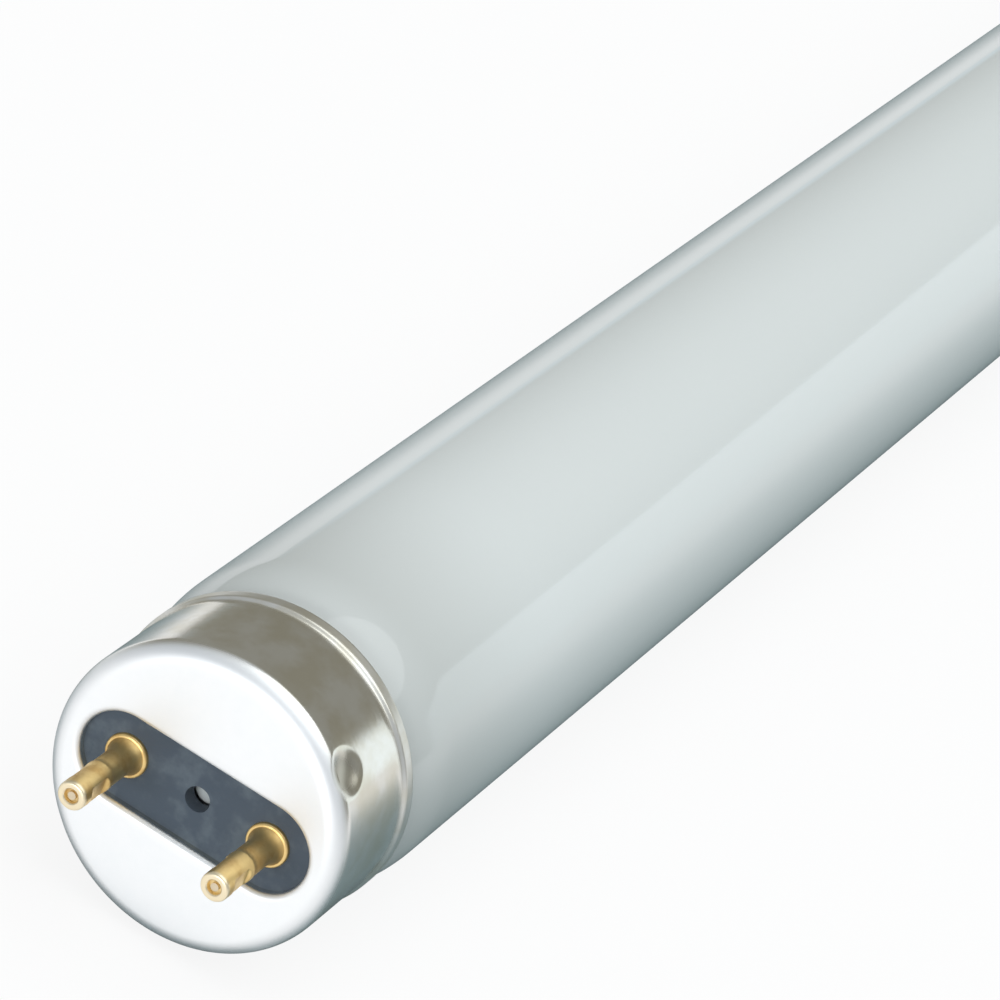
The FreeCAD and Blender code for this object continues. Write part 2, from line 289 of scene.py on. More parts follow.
cap_aluminium, tree, shader, place = new_finish("cap aluminium", Metallic=1.0)
x, y, z = split(tree, place)
behind_face = face_x / MM - abs(x)
in_window = 1 - rise(tree, distance(y, z), window_reach, window_reach + 0.2)
side = rise(tree, behind_face, 0.5, 1.5).high(in_window * rise(tree, behind_face, 0.15, 0.6))
bent_lip = rise(tree, behind_face, 9.2, 9.7)
beside_dent = z * math.cos(dent_turn) - x.of("SIGN") * y * math.sin(dent_turn)
from_dent = distance(beside_dent, behind_face - dent_middle / MM)
# Near each dent: painted shade in the colour, and a duller polish.
in_dent = 1 - rise(tree, from_dent, 0.8, 2.0)
print("zones of the cap:", len(tree.nodes), "nodes")

# %% [markdown]
# On these zones lie the colours and the polish. The stain and the smudges are plain clouds. The marks are a
# cloud that is squeezed along the lamp, so that it runs around the cap as marks from drawing do.

# %% Cap aluminium
FACE_BRIGHT = (0.93, 0.94, 0.95)
FACE_SMUDGED = (0.88, 0.90, 0.91)
SIDE_CLEAN = (0.77, 0.77, 0.745)
SIDE_STAINED = (0.66, 0.635, 0.55)
# Painted shade for the hollows of the dents.
DENT_SHADE = (0.36, 0.345, 0.295)

stain = cloud(tree, place, 0.28, 5.0)
marks = cloud(tree, place, 1.0, 4.0, stretch=(14.0, 0.25, 0.25))
smudge = cloud(tree, place, 0.6, 3.0)
bright = blend(tree, smudge, FACE_BRIGHT, FACE_SMUDGED)
warm = blend(tree, rise(tree, stain, 0.35, 0.68), SIDE_CLEAN, SIDE_STAINED)
# Painted shade: the dents are darkened towards a dark brown grey.
warm = blend(tree, in_dent * 0.7, warm, DENT_SHADE)
plug(tree, shader.inputs["Base Color"], blend(tree, side, bright, warm))
polish = 0.09 + 0.06 * stain + 0.04 * marks + 0.2 * bent_lip.high(in_dent * 0.8)
satin = 0.46 + 0.1 * smudge
plug(tree, shader.inputs["Roughness"], satin + side * (polish - satin))
emboss(tree, shader, marks * side + smudge * 0.3, 0.004)
print("finish:", cap_aluminium.name, "with", len(tree.nodes), "nodes")

# %% [markdown]
# The plate in the window is pressed fibre board or plastic, dark blue grey, with paler scuffs. A single
# colour would look printed, so a cloud lays the scuffs and a finer one gives specks and a slight relief.

# %% Dark plate
BOARD = (0.074, 0.1, 0.134)
BOARD_SCUFFED = (0.14, 0.175, 0.21)
BOARD_SPECK = (0.08, 0.095, 0.118)

dark_plate, tree, shader, place = new_finish("dark plate", Roughness=0.5, IOR=1.45)
scuff = rise(tree, cloud(tree, place, 0.55, 6.0), 0.42, 0.75)
speck = cloud(tree, place, 3.0, 3.0)
board = blend(tree, scuff, BOARD, BOARD_SCUFFED)
plug(tree, shader.inputs["Base Color"], blend(tree, speck * 0.35, board, BOARD_SPECK))
emboss(tree, shader, speck, 0.02)
print("finish:", dark_plate.name, "with", len(tree.nodes), "nodes")

# %% [markdown]
# The pins are brass, a little brown where nothing rubs them, and paler at their tips, which a holder
# scrapes. The tips could be painted by hand. The distance from the pin's end does it for all four pins at
# once.

# %% Pin brass
BRASS = (0.85, 0.62, 0.27)
BRASS_TARNISHED = (0.66, 0.43, 0.16)
BRASS_SCRAPED = (0.93, 0.84, 0.64)

pin_brass, tree, shader, place = new_finish("pin brass", Metallic=1.0)
tarnish = rise(tree, cloud(tree, place, 0.7, 5.0), 0.42, 0.72)
rub = cloud(tree, place, 1.4, 4.0, stretch=(0.3, 2.0, 2.0))
brass = blend(tree, tarnish, BRASS, BRASS_TARNISHED)
tip_wear = rise(tree, abs(split(tree, place)[0]) - pin_end_x / MM, -0.5, -0.1)
brass = blend(tree, tip_wear * 0.8, brass, BRASS_SCRAPED)
plug(tree, shader.inputs["Base Color"], brass)
plug(tree, shader.inputs["Roughness"], 0.32 + 0.1 * tarnish + 0.06 * rub)
emboss(tree, shader, rub, 0.006)
print("finish:", pin_brass.name, "with", len(tree.nodes), "nodes")

# %% [markdown]
# A lead wire shows only as a cut end in each pin's tip. It is plated and dulled by its crimping, so one
# cloud moves both its colour and its gloss.

# %% Plated wire
WIRE_BRIGHT = (0.80, 0.70, 0.52)
WIRE_DULL = (0.62, 0.50, 0.34)

plated_wire, tree, shader, place = new_finish("plated wire", Metallic=1.0)
dull = cloud(tree, place, 2.0, 4.0)
plug(tree, shader.inputs["Base Color"], blend(tree, dull, WIRE_BRIGHT, WIRE_DULL))
plug(tree, shader.inputs["Roughness"], 0.25 + 0.2 * dull)
print("finish:", plated_wire.name, "with", len(tree.nodes), "nodes")

# %% [markdown]
# The cement that holds a cap on its glass is a dull brown resin with coarse lumps. It is hidden under the
# shell, so one cloud for colour and relief is enough.

# %% Cap cement
CEMENT_DARK = (0.20, 0.155, 0.11)
CEMENT_PALE = (0.36, 0.30, 0.23)

cap_cement, tree, shader, place = new_finish("cap cement", Roughness=0.85)
lump = cloud(tree, place, 1.2, 6.0)
plug(tree, shader.inputs["Base Color"], blend(tree, lump, CEMENT_DARK, CEMENT_PALE))
emboss(tree, shader, lump, 0.08)
print("finish:", cap_cement.name, "with", len(tree.nodes), "nodes")


# %% [markdown]
# A skin that is wrapped or laid in rings has open seams and poles. They are merged, faces are pointed
# outwards, and shading is smooth except at real edges. Auto smooth by a modifier would do too, but marked
# edges export as they are.

# %% Close and smooth a skin
MERGE_REACH = 2e-6
LEAST_EDGE = 1e-7
SHARP_ANGLE = math.radians(35)


def tidy_mesh(mesh):
    """Close seams and poles, point faces outwards and shade smooth, with sharp edges kept."""
    work = bmesh.new()
    work.from_mesh(mesh)
    bmesh.ops.remove_doubles(work, verts=work.verts, dist=MERGE_REACH)
    bmesh.ops.dissolve_degenerate(work, dist=LEAST_EDGE, edges=work.edges)
    bmesh.ops.recalc_face_normals(work, faces=work.faces)
    work.to_mesh(mesh)
    work.free()
    mesh.shade_smooth()
    mesh.set_sharp_from_angle(angle=SHARP_ANGLE)


print("edges stay sharp past", round(math.degrees(SHARP_ANGLE)), "degrees")


# %% [markdown]
# Geometry Nodes make what follows a rule. A tree has named inputs for its sizes and closes with Realize
# Instances and Set Material, because the export drops instances. Its modifier could stay live, but a plain
# mesh is safer to export, so the tree runs once, with its inputs set by their identifiers, and its result
# is kept.

# %% Tools for a geometry tree
def new_tree(name, sizes):
    """A geometry tree, the identifiers of its named inputs, and those inputs as wires."""
    tree = bpy.data.node_groups.new(name, "GeometryNodeTree")
    keys = {}
    for label, kind in sizes.items():
        keys[label] = tree.interface.new_socket(label, in_out="INPUT", socket_type=kind).identifier
    tree.interface.new_socket("Geometry", in_out="OUTPUT", socket_type="NodeSocketGeometry")
    wires = dict(zip(sizes, add_node(tree, "NodeGroupInput", out=list(sizes))))
    return tree, keys, wires


def end_tree(tree, geometry, material):
    """Realize instances, set the material and leave the tree."""
    real = add_node(tree, "GeometryNodeRealizeInstances", {}, {"Geometry": geometry})
    done = add_node(tree, "GeometryNodeSetMaterial", {}, {"Geometry": real, "Material": material})
    add_node(tree, "NodeGroupOutput", {}, {"Geometry": done}, out=[])


def bake_tree(name, tree, keys, values):
    """Run a tree once with these sizes and keep the result as a plain closed mesh."""
    carrier = bpy.data.objects.new(name, bpy.data.meshes.new(name + " start"))
    bpy.context.scene.collection.objects.link(carrier)
    modifier = carrier.modifiers.new("rule", "NODES")
    modifier.node_group = tree
    for label, value in values.items():
        modifier[keys[label]] = value
    bpy.context.view_layer.update()
    made = bpy.data.meshes.new_from_object(carrier.evaluated_get(bpy.context.evaluated_depsgraph_get()))
    carrier.modifiers.remove(modifier)
    carrier.data = made
    made.name = name
    tidy_mesh(made)
    return carrier


print("tree tools:", [tool.__name__ for tool in (new_tree, end_tree, bake_tree)])

# %% [markdown]
# The glass follows a rule: one radius all along, eased down in an S at each shoulder to a neck inside the
# cap, and a rounded end. A lathe would do, but the rule in Geometry Nodes stays open to change. A flat grid
# is wrapped around the axis. Nine tenths of its rows lie along the tube and crowd towards the ends, where
# the form changes.

# %% Side of the glass
SIZE = "NodeSocketFloat"
COUNT = "NodeSocketInt"
END_SHARE = 0.9

tree, keys, size = new_tree("glass envelope", {
    "Half Length": SIZE, "Tube Radius": SIZE, "Neck Radius": SIZE, "Shoulder Start": SIZE,
    "Shoulder Length": SIZE, "End Round": SIZE, "Tip Radius": SIZE, "Tip Height": SIZE,
    "Rows": COUNT, "Columns": COUNT})
grid = add_node(tree, "GeometryNodeMeshGrid", {}, {
    "Size X": 2.0, "Size Y": 2.0, "Vertices X": size["Rows"], "Vertices Y": size["Columns"]})
along, turn, _ = split(tree, add_node(tree, "GeometryNodeInputPosition"))
share = (abs(along) / END_SHARE).low(1.0)
reach = size["Half Length"] * (1 - (1 - share) ** 3.0)
step = ((reach - size["Shoulder Start"]) / size["Shoulder Length"]).high(0.0).low(1.0)
early = 2.0 * step * step
late = 1 - 2.0 * (1 - step) * (1 - step)
ease = early + (step > 0.5) * (late - early)
radius = size["Tube Radius"] - (size["Tube Radius"] - size["Neck Radius"]) * ease
end_round = size["End Round"]
into_end = (reach - (size["Half Length"] - end_round)).high(0.0)
radius = radius - end_round + (end_round * end_round - into_end * into_end).high(0.0).of("SQRT")
print("side of the glass:", len(tree.nodes), "nodes")

# %% [markdown]
# The last rows close each end. They run in over a flat and then up the sealed exhaust tip, a short rod with
# a round end that shows through the small vent in the plate. Separate meshes for end and tip would leave
# seams. Here the same grid carries on, so the skin stays one closed piece.

# %% Ends of the glass
TIP_SHARE = 8 / 9

left = ((1 - abs(along)) / (1 - END_SHARE)).low(1.0)
flat = ((left - TIP_SHARE) / (1 - TIP_SHARE)).high(0.0)
tip = (left / TIP_SHARE).low(1.0)
bow = (tip * 2.0).low(1.0) * (math.pi / 2)
rod = (tip * 2.0 - 1).high(0.0)
fall = size["Tip Radius"] * (1 - bow.of("COSINE")) + rod * (size["Tip Height"] - size["Tip Radius"])
radius = size["Tip Radius"] * bow.of("SINE") + (radius - size["Tip Radius"]) * flat
reach = reach + size["Tip Height"] - fall
angle = turn * math.pi
wrapped = add_node(tree, "ShaderNodeCombineXYZ", {}, {
    0: reach * along.of("SIGN"), 1: radius * angle.of("COSINE"), 2: radius * angle.of("SINE")})
skin = add_node(tree, "GeometryNodeSetPosition", {}, {"Geometry": grid, "Position": wrapped})
end_tree(tree, skin, coated_glass)
print("whole glass:", len(tree.nodes), "nodes")

# %% [markdown]
# With its sizes set, the tree makes the glass. The shoulder starts 6 mm before the cap's rim, as it is seen
# to do, and the neck runs into the cap.

# %% Make the glass
glass_end_x = face_x - 5.2 * MM
neck_radius = 11.5 * MM
shoulder_start = rim_x - 6.0 * MM
shoulder_length = 10.2 * MM
glass_end_round = 0.8 * MM
exhaust_tip_radius = 2.0 * MM

glass = bake_tree("glass_envelope", tree, keys, {
    "Half Length": glass_end_x, "Tube Radius": tube_radius, "Neck Radius": neck_radius,
    "Shoulder Start": shoulder_start, "Shoulder Length": shoulder_length, "End Round": glass_end_round,
    "Tip Radius": exhaust_tip_radius, "Tip Height": exhaust_tip_x - glass_end_x,
    "Rows": 361, "Columns": 193})
print("glass:", len(glass.data.polygons), "faces")


# %% [markdown]
# The cap shell is one sheet: rear lip, side, rounded corner, flat face, and a window whose edge is rolled
# in to hold the plate. A lathe can't cut the window and a boolean leaves poor shading, so the sheet is laid
# as rings. Each ring is a circle or the window's racetrack, and all are taken at the same angles, which lie
# close together at the two dents.

# %% Rings of the cap shell
DENT_TURNS = [math.degrees(dent_turn), math.degrees(dent_turn) + 180]
DENT_SPAN = 13
FINE_ANGLES = 92
PLAIN_ANGLES = 130
TINY = 1e-9
window_radius = 3.7 * MM
window_half = 6.35 * MM


def ring_angles():
    """Angles once around, close together at the dents."""
    fine = [np.linspace(t - DENT_SPAN, t + DENT_SPAN, FINE_ANGLES) for t in DENT_TURNS]
    plain = [np.linspace(t + DENT_SPAN, t + 180 - DENT_SPAN, PLAIN_ANGLES)[1:-1] for t in DENT_TURNS]
    return np.radians(np.sort(np.concatenate([*fine, *plain])))


angles = ring_angles()


def circle_ring(radius, height):
    """A ring with one radius, or with its own radius at each angle."""
    radius = np.broadcast_to(radius, angles.shape)
    return np.stack([radius * np.cos(angles), radius * np.sin(angles), np.full_like(angles, height)], axis=1)


def window_ring(offset, height):
    """The racetrack, offset outwards, met at the same angles as the circles."""
    radius = window_radius + offset
    cosine = np.abs(np.cos(angles))
    sine = np.abs(np.sin(angles))
    on_side = radius * cosine <= window_half * sine
    to_side = radius / np.maximum(sine, TINY)
    to_end = window_half * cosine + np.sqrt(np.maximum(radius ** 2 - (window_half * sine) ** 2, 0.0))
    return circle_ring(np.where(on_side, to_side, to_end), height)


print("angles around the cap:", len(angles))

# %% [markdown]
# A staking tool pressed a round dent into the shell at two places, to hold it on the plate. Sculpting would
# be hard to repeat at both ends. A ball of the right size says by a formula how far each point of a ring is
# pushed in.

# %% Dents of the cap shell
lip_flare = 0.25 * MM
cap_radius = lip_radius - lip_flare
dent_radius = 1.95 * MM
dent_depth = 0.5 * MM
dent_ball = (dent_radius ** 2 + dent_depth ** 2) / (2 * dent_depth)
dent_soft = 0.3 * MM
dent_reach = 0.3  # radians


def dented(radius, height, swell):
    """The side's radius, pressed in by a ball at each dent, with a slightly softened edge."""
    middle = cap_radius + dent_ball - dent_depth
    result = np.full_like(angles, radius)
    for turn in DENT_TURNS:
        off = np.angle(np.exp(1j * (angles - math.radians(turn))))
        inside = (dent_ball + swell) ** 2 - (height + dent_middle) ** 2 - (middle * np.sin(off)) ** 2
        ball = middle * np.cos(off) - np.sqrt(np.maximum(inside, 0.0))
        near = (inside > 0) & (np.abs(off) < dent_reach)
        gap = np.clip(0.5 + (result - ball) / (2 * dent_soft), 0.0, 1.0)
        pressed = result * (1 - gap) + ball * gap - dent_soft * gap * (1 - gap)
        result = np.where(near, np.minimum(pressed, result), result)
    return result


print("radius of the staking ball:", round(dent_ball / MM, 2))

# %% [markdown]
# The rings run from the outer lip over the face to the window, so the list reads like the cap's section.
# Heights are counted from the face, downwards, and lie closest where the dents are. The flared lip is eased
# into the side, because a bent sheet has no sharp kink.

# %% Lip and side of the cap shell
cap_height = face_x - rim_x
corner = 1.5 * MM
lip_height = 1.0 * MM
lip_slope = 0.4 * MM
lip_edge = 0.1 * MM
dent_zone = 5.0 * MM


def smooth(share):
    """An S from 0 to 1."""
    return share * share * (3 - 2 * share)


def side_rings(inset, heights):
    """Rings of the side and of the flared lip, inset by the wall for the inside."""
    rings = []
    for height in heights:
        climb = np.clip((-height - (cap_height - lip_height - lip_slope)) / lip_slope, 0.0, 1.0)
        flare = lip_flare * smooth(climb)
        rings.append(circle_ring(dented(cap_radius - inset + flare, height, inset), height))
    return rings


def quarter(count):
    """Angles over a quarter turn."""
    return np.linspace(0.0, math.pi / 2, count)


low = -cap_height
lip_steps = np.linspace(low + lip_edge, low + lip_height, 6)
slope_steps = np.linspace(low + lip_height, low + lip_height + lip_slope, 7)[1:]
plain_steps = np.linspace(low + lip_height + lip_slope, -dent_zone, 8)[1:]
dent_steps = np.linspace(-dent_zone, -corner, 40)[1:]
side_steps = np.concatenate([lip_steps, slope_steps, plain_steps, dent_steps])

rings = [circle_ring(lip_radius - lip_edge * (1 - math.sin(t)), low + lip_edge * (1 - math.cos(t)))
         for t in quarter(4)]
rings += side_rings(0.0, side_steps[1:])
print("lip and side:", len(rings), "rings")

# %% [markdown]
# Above the side come the rounded corner, the flat face and the rolled edge of the window. A bevel would
# round the edges too, but not with the dents running into the corner. The face goes over from a circle to
# the racetrack in even steps, which keeps its faces long and regular.

# %% Corner, face and window of the cap shell
roll = 0.5 * MM

for t in quarter(24)[1:]:
    height = -corner + corner * math.sin(t)
    rings.append(circle_ring(dented(cap_radius - corner + corner * math.cos(t), height, 0.0), height))
face_edge = rings[-1]
for share in np.linspace(0.0, 1.0, 14)[1:]:
    rings.append(face_edge * (1 - share) + window_ring(roll, 0.0) * share)
rings += [window_ring(roll - roll * math.sin(t), -roll + roll * math.cos(t)) for t in quarter(9)[1:]]
rings += [window_ring(0.0, height) for height in np.linspace(-roll, -plate_depth, 4)[1:]]
print("outside of the cap shell:", len(rings), "rings")

# %% [markdown]
# The same list goes back along the inside to the lip. Solidify could give the sheet its thickness. Rings of
# their own need fewer faces where nobody looks, and close the sheet as one solid wall.

# %% Inside of the cap shell
wall = 0.4 * MM
inner_corner = corner - wall

rings += [window_ring(wall, -plate_depth), window_ring(wall, -wall)]
rings += [circle_ring(cap_radius - corner, -wall)]
rings += [circle_ring(cap_radius - corner + inner_corner * math.sin(t), -corner + inner_corner * math.cos(t))
          for t in quarter(6)[1:]]
rings += side_rings(wall, side_steps[::-1][1:])
rings += [circle_ring(lip_radius - wall, low)]
print("cap shell:", len(rings), "rings of", len(angles))


# %% [markdown]
# One sheet serves both ends. In the cap's own drawing z points out of the face. At the rear end that is +X,
# and the front cap is the same piece turned half round the vertical. A mirrored copy would be inside out
# and would have its dents on the wrong side.

# %% Place the cap shells
def to_rear(points):
    return np.stack([face_x + points[:, 2], points[:, 0], points[:, 1]], axis=1)


def to_front(points):
    rear = to_rear(points)
    return np.stack([-rear[:, 0], -rear[:, 1], rear[:, 2]], axis=1)


def ring_mesh(name, rings, place, material):
    """Join rings of equal count by four-sided faces, and the last ring to the first."""
    count = len(rings[0])
    points = place(np.concatenate(rings))
    faces = []
    for i in range(len(rings)):
        here = i * count
        there = (i + 1) % len(rings) * count
        for j in range(count):
            k = (j + 1) % count
            faces.append((here + j, here + k, there + k, there + j))
    mesh = bpy.data.meshes.new(name)
    mesh.from_pydata(points.tolist(), [], faces)
    mesh.materials.append(material)
    tidy_mesh(mesh)
    piece = bpy.data.objects.new(name, mesh)
    bpy.context.scene.collection.objects.link(piece)
    return piece


ENDS = {"front": to_front, "rear": to_rear}
shells = {end: ring_mesh(end + "_cap_sheet", rings, place, cap_aluminium) for end, place in ENDS.items()}
print("cap sheet:", len(shells["front"].data.polygons), "faces each")

# %% [markdown]
# A pin is a hollow brass rivet: a collar on the plate, a swept neck, a plain shank, then a slightly wider
# half that a tool has squeezed flat on two sides to grip its wire. The flats could be cut by a boolean.
# Here the turned form is a stack of rings, and the squeeze limits how far each ring may reach sideways.

# %% Rings of one pin
PIN_TURNS = np.linspace(0.0, 2 * math.pi, 97)[:-1]
barrel_radius = 1.21 * MM
crimp_start = 3.6 * MM
crimp_end = 6.5 * MM
crimp_ease = 0.5 * MM
crimp_depth = 0.34 * MM
crimp_spare = 0.02 * MM


def squeeze(height):
    """How far the crimped flats reach from the pin's middle, at a height."""
    rising = np.clip((height - crimp_start) / crimp_ease, 0.0, 1.0)
    falling = np.clip((crimp_end - height) / crimp_ease, 0.0, 1.0)
    return barrel_radius + crimp_spare - crimp_depth * smooth(rising) * smooth(falling)


def pin_ring(radius, height, crimped=False):
    """A ring of the pin, held in by the flats where it is crimped."""
    across = radius * np.cos(PIN_TURNS)
    deep = radius * np.sin(PIN_TURNS)
    if crimped:
        reach = squeeze(height)
        across = np.clip(across, -reach, reach)
    return np.stack([across, deep, np.full_like(PIN_TURNS, height)], axis=1)


print("flats of the crimp:", round(2 * squeeze((crimp_start + crimp_end) / 2) / MM, 2), "apart")

# %% [markdown]
# The list of rings is again the section of the piece. It starts on the plate and climbs over the collar,
# whose edge is rounded, up the swept neck to the plain shank. A power of three gives the sweep, which is
# how a drawn tube leaves its flange.

# %% Collar, neck and shank of one pin
collar_radius = 1.8 * MM
collar_round = 0.26 * MM
collar_top = 0.4 * MM - plate_depth
shank_radius = 1.15 * MM
neck_wide = collar_radius - collar_round - shank_radius
neck_top = 1.3 * MM
shank_top = 3.1 * MM

pin_rings = [pin_ring(shank_radius, -plate_depth), pin_ring(collar_radius, -plate_depth)]
for t in quarter(7):
    height = collar_top - collar_round * (1 - math.sin(t))
    pin_rings.append(pin_ring(collar_radius - collar_round * (1 - math.cos(t)), height))
for share in np.linspace(0.0, 1.0, 16)[1:]:
    height = collar_top + (neck_top - collar_top) * share
    pin_rings.append(pin_ring(shank_radius + neck_wide * (1 - share) ** 3, height))
pin_rings += [pin_ring(shank_radius, height) for height in np.linspace(neck_top, shank_top, 6)[1:]]
print("collar, neck and shank:", len(pin_rings), "rings")

# %% [markdown]
# The crimped half tapers a little towards the tip. There the list turns in over the rounded end and goes
# down the bore. A wide bore through the whole pin would never be seen, so below its first part the hole
# only makes room for the wire.

# %% Barrel, tip and bore of one pin
pin_top = pin_end_x - face_x
barrel_low = 3.3 * MM
tip_radius = 1.17 * MM
tip_round = 0.25 * MM
barrel_high = pin_top - tip_round
bore_radius = 0.6 * MM
bore_bevel = 0.08 * MM
bore_floor = pin_top - 0.4 * MM
wire_hole = 0.33 * MM

for height in np.linspace(barrel_low, barrel_high, 44):
    share = (height - barrel_low) / (barrel_high - barrel_low)
    pin_rings.append(pin_ring(barrel_radius + (tip_radius - barrel_radius) * share, height, crimped=True))
pin_rings += [pin_ring(tip_radius - tip_round * (1 - math.cos(t)), pin_top - tip_round * (1 - math.sin(t)))
              for t in quarter(7)[1:]]
pin_rings += [pin_ring(bore_radius + bore_bevel, pin_top), pin_ring(bore_radius, pin_top - bore_bevel)]
pin_rings += [pin_ring(bore_radius, bore_floor), pin_ring(wire_hole, bore_floor)]
pin_rings += [pin_ring(wire_hole, -plate_depth)]
one_pin = ring_mesh("one_pin", pin_rings, lambda points: points, pin_brass)
print("pin:", len(one_pin.data.polygons), "faces")

# %% [markdown]
# The lamp has the same pin four times. Copies by hand would drift apart, so a tree sets the pin on two
# points per end and turns the pair round to the other end. Realize Instances at its close makes the copies
# real for the export.

# %% Set the four pins
tree, keys, size = new_tree("pin set", {
    "Pin": "NodeSocketObject", "Pin Spacing": SIZE, "Face Distance": SIZE})
pin = add_node(tree, "GeometryNodeObjectInfo", {"transform_space": "ORIGINAL"},
               {"Object": size["Pin"]}, out="Geometry")
first = add_node(tree, "ShaderNodeCombineXYZ", {}, {0: size["Face Distance"], 1: size["Pin Spacing"] * -0.5})
apart = add_node(tree, "ShaderNodeCombineXYZ", {}, {1: size["Pin Spacing"]})
points = add_node(tree, "GeometryNodeMeshLine", {"mode": "OFFSET"}, {
    "Count": 2, "Start Location": first, "Offset": apart})
pair = add_node(tree, "GeometryNodeInstanceOnPoints", {}, {
    "Points": points, "Instance": pin, "Rotation": (math.pi / 2, 0.0, math.pi / 2)})
turned = add_node(tree, "GeometryNodeTransform", {}, {"Geometry": pair, "Rotation": (0.0, 0.0, math.pi)})
joined = add_node(tree, "GeometryNodeJoinGeometry", {}, {"Geometry": [pair, turned]})
end_tree(tree, joined, pin_brass)
pins = bake_tree("brass_pins", tree, keys, {
    "Pin": one_pin, "Pin Spacing": 2 * pin_middle, "Face Distance": face_x})
bpy.data.objects.remove(one_pin)
print("pins:", [round(v / MM, 2) for v in pins.dimensions])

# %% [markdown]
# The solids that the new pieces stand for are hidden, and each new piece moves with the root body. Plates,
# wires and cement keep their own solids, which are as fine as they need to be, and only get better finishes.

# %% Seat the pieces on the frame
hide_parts("glass_tube")
for end, shell in shells.items():
    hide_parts(end + "_cap_shell")
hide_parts(*[f"{end}_pin_{side}" for end in ENDS for side in ("left", "right")])
for piece in (glass, *shells.values(), pins):
    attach(piece, "root")

KEPT = {
    "insulator_plate": dark_plate,
    "cap_cement": cap_cement,
    "lead_left": plated_wire,
    "lead_right": plated_wire,
}
for end in ENDS:
    for kind, finish in KEPT.items():
        frame["nodes"][f"{end}_{kind}"].data.materials[0] = finish

# %% [markdown]
# The lamp lies on white paper that takes its shadow. A curved backdrop could hide the horizon, but the
# camera looks down and sees only what the lamp lies on, so a plain sheet is enough.

# %% Floor
FLOOR_HALF = 6.0
CORNERS = ((-1, -1), (1, -1), (1, 1), (-1, 1))

floor_mesh = bpy.data.meshes.new("floor")
floor_points = [(FLOOR_HALF * i, FLOOR_HALF * j, -tube_radius) for i, j in CORNERS]
floor_mesh.from_pydata(floor_points, [], [(0, 1, 2, 3)])
floor = bpy.data.objects.new("floor", floor_mesh)
bpy.context.scene.collection.objects.link(floor)
print("floor:", [round(v, 2) for v in floor.dimensions], "at", round(-tube_radius / MM, 2), "mm")

# %% [markdown]
# To read as pure white, paper could get more light, but then the lamp would be too bright. Instead it has
# some light of its own, for the eye and in mirrors and glass. Mirrors show a shade beside the lamp more
# deeply than the eye does, which keeps the edges of glass and metal apart from the white behind them. Light
# that only bounces meets that shade's dim blue grey everywhere, so that the lamp's underside keeps some
# shade.

# %% White paper
PAPER_SHADE = (0.24, 0.3, 0.31)
PAPER_WHITE = (0.95, 0.95, 0.95)
PAPER_GLOW = 0.88
shade_near = 12 * MM
shade_far = 150 * MM
shade_end = 4 * MM

paper = bpy.data.materials.new("white paper")
paper.use_nodes = True
tree = paper.node_tree
tree.nodes.remove(tree.nodes["Principled BSDF"])
eye, glossy, through = add_node(
    tree, "ShaderNodeLightPath", out=["Is Camera Ray", "Is Glossy Ray", "Is Transmission Ray"])
x, y, _ = split(tree, add_node(tree, "ShaderNodeTexCoord", out="Object"))
beside = 1 - rise(tree, abs(y), shade_near, shade_far)
shade = beside * (1 - rise(tree, abs(x), face_x, face_x + shade_end))
white = eye.high(glossy.high(through) * (1 - shade))
tone = blend(tree, white, PAPER_SHADE, PAPER_WHITE)
plain = add_node(tree, "ShaderNodeBsdfDiffuse", {}, {"Color": tone})
glow = add_node(tree, "ShaderNodeEmission", {}, {"Color": (1.0, 1.0, 1.0, 1.0), "Strength": 1.0})
mixed = add_node(tree, "ShaderNodeMixShader", {}, {0: white * PAPER_GLOW, 1: plain, 2: glow})
plug(tree, tree.nodes["Material Output"].inputs["Surface"], mixed)
floor_mesh.materials.append(paper)
print("paper:", len(tree.nodes), "nodes")

# %% [markdown]
# Polished metal shows the room, so the room is part of the look. A photographed room would need a file.
# This one is worked out from the direction of each ray, as a bearing and a level in degrees. It is dim and
# warm ahead of the lamp, paler behind and above, and it has one pale panel low on the right, which draws
# the long line down the glass and the bright patch on the cap. A thin pale strip at the horizon on the left
# gives the fine line along the tube's upper edge. All rays see the same room.

# %% Room
ROOM_BEHIND = (0.50, 0.53, 0.56)
ROOM_AHEAD = (0.305, 0.3, 0.265)
CEILING = (0.55, 0.57, 0.58)
CEILING_LEVEL = (38.0, 60.0)
PANEL = (1.1, 1.17, 1.18)
PANEL_START = (-56.0, -46.0)
PANEL_STOP = (-17.0, -11.0)
PANEL_TOP = (16.0, 17.5)
STRIP = (0.58, 0.74, 0.82)
STRIP_START = (20.0, 25.0)
STRIP_STOP = (34.0, 36.0)
STRIP_FOOT = (-1.0, 0.4)
STRIP_TOP = (0.8, 3.2)

world = bpy.data.worlds.new("studio")
bpy.context.scene.world = world
world.use_nodes = True
tree = world.node_tree
x, y, z = split(tree, add_node(tree, "ShaderNodeTexCoord", out="Generated"))
bearing = y.math("ARCTAN2", y, x) * math.degrees(1)
level = z.high(-1.0).low(1.0).of("ARCSINE") * math.degrees(1)
room = blend(tree, rise(tree, x, -0.3, 0.5), ROOM_BEHIND, ROOM_AHEAD)
room = blend(tree, rise(tree, level, *CEILING_LEVEL), room, CEILING)
panel = rise(tree, bearing, *PANEL_START) * (1 - rise(tree, bearing, *PANEL_STOP))
panel = panel * (1 - rise(tree, level, *PANEL_TOP))
room = blend(tree, panel, room, PANEL)
strip = rise(tree, bearing, *STRIP_START) * (1 - rise(tree, bearing, *STRIP_STOP))
strip = strip * rise(tree, level, *STRIP_FOOT) * (1 - rise(tree, level, *STRIP_TOP))
room = blend(tree, strip, room, STRIP)
plug(tree, tree.nodes["Background"].inputs["Color"], room)
print("room:", len(tree.nodes), "nodes")


# %% [markdown]
# One wide soft lamp hangs above, as a softbox would, and a second one in front lights the cap's face and
# the pins. Small lamps would leave hard shadows and hot spots on the metal. Both stay clear of what the
# cap's side can mirror to the camera.

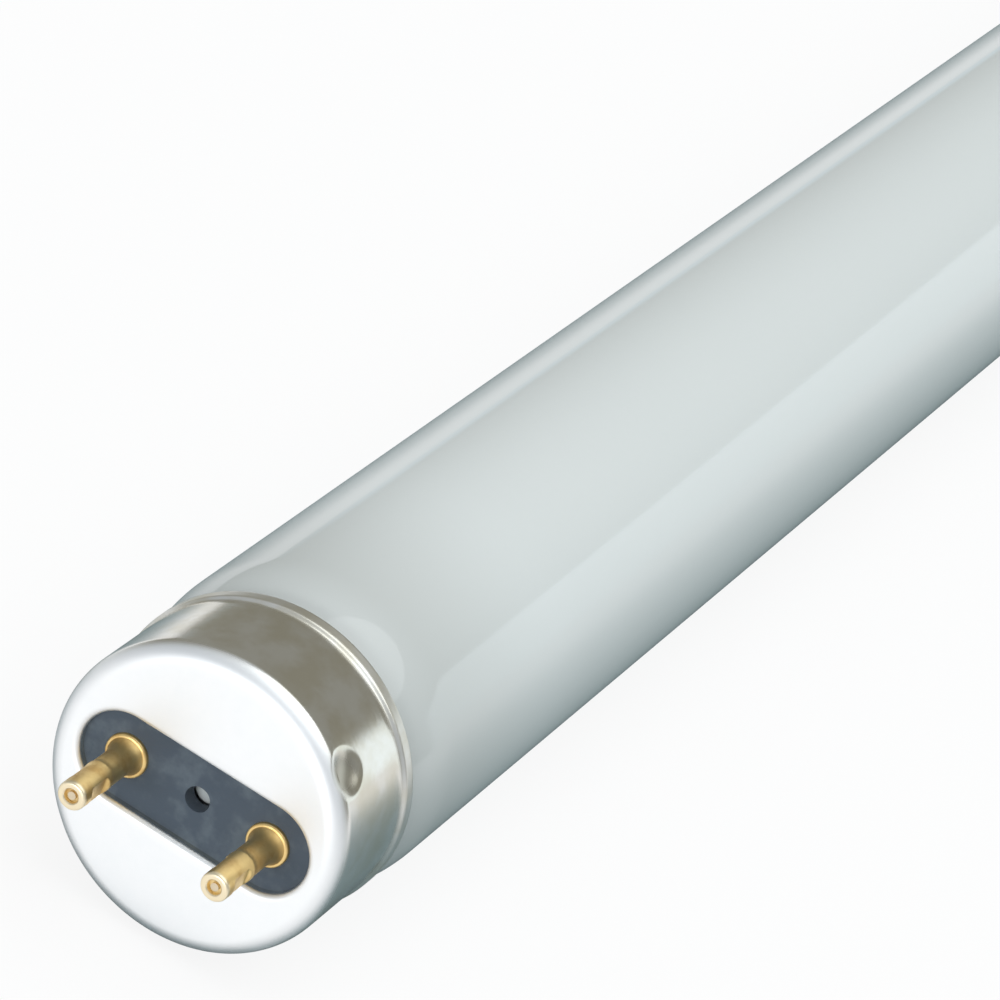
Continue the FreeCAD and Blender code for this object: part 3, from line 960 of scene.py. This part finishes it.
# %% Lamps
def soft_lamp(name, place, target, width, height, watts, colour):
    """An oval area lamp at a place, turned to a target and not seen by the camera."""
    data = bpy.data.lights.new(name, "AREA")
    data.shape = "ELLIPSE"
    data.size = width
    data.size_y = height
    data.energy = watts
    data.color = colour
    lamp = bpy.data.objects.new(name, data)
    bpy.context.scene.collection.objects.link(lamp)
    lamp.location = place
    lamp.rotation_euler = (Vector(target) - Vector(place)).to_track_quat("-Z", "Y").to_euler()
    lamp.visible_camera = False
    return lamp


lamps = [
    soft_lamp("softbox above", (0.0, -0.6, 1.8), (-0.1, 0.0, 0.0), 2.6, 2.6, 22.2, (0.96, 0.99, 1.0)),
    soft_lamp("softbox front", (-1.6, 0.05, 0.16), (-0.3, 0.0, 0.0), 1.1, 0.3, 6.0, (0.98, 0.99, 1.0)),
]
print("lamps in watts:", {lamp.name: round(lamp.data.energy, 1) for lamp in lamps})

# %% [markdown]
# The camera stands in front of one end and looks down along the lamp, slightly rolled, with a long lens.
# Its place could be set by eye. It was found by matching the cap's rim, the pins and the tube's two edges.

# %% Camera
SENSOR_WIDTH = 36.0
FOCAL_LENGTH = 195.28
CAMERA_PLACE = (-0.61132, -0.10228, 0.22202)
CAMERA_AHEAD = (0.8371, 0.2378, -0.4926)
CAMERA_UP = (0.3262, 0.5058, 0.7986)

lens = bpy.data.cameras.new("camera")
lens.sensor_width = SENSOR_WIDTH
lens.lens = FOCAL_LENGTH
lens.clip_start = 0.01
camera = bpy.data.objects.new("camera", lens)
bpy.context.scene.collection.objects.link(camera)
ahead = Vector(CAMERA_AHEAD).normalized()
aside = ahead.cross(Vector(CAMERA_UP)).normalized()
axes = Matrix((aside, aside.cross(ahead), -ahead)).transposed()
camera.matrix_world = Matrix.Translation(CAMERA_PLACE) @ axes.to_4x4()
bpy.context.scene.camera = camera
bpy.context.scene.view_settings.view_transform = "Standard"
print("camera:", round(Vector(CAMERA_PLACE).length, 3), "m from the middle of the lamp")

# %% [markdown]
# The dressed lamp must not be larger than its solids.
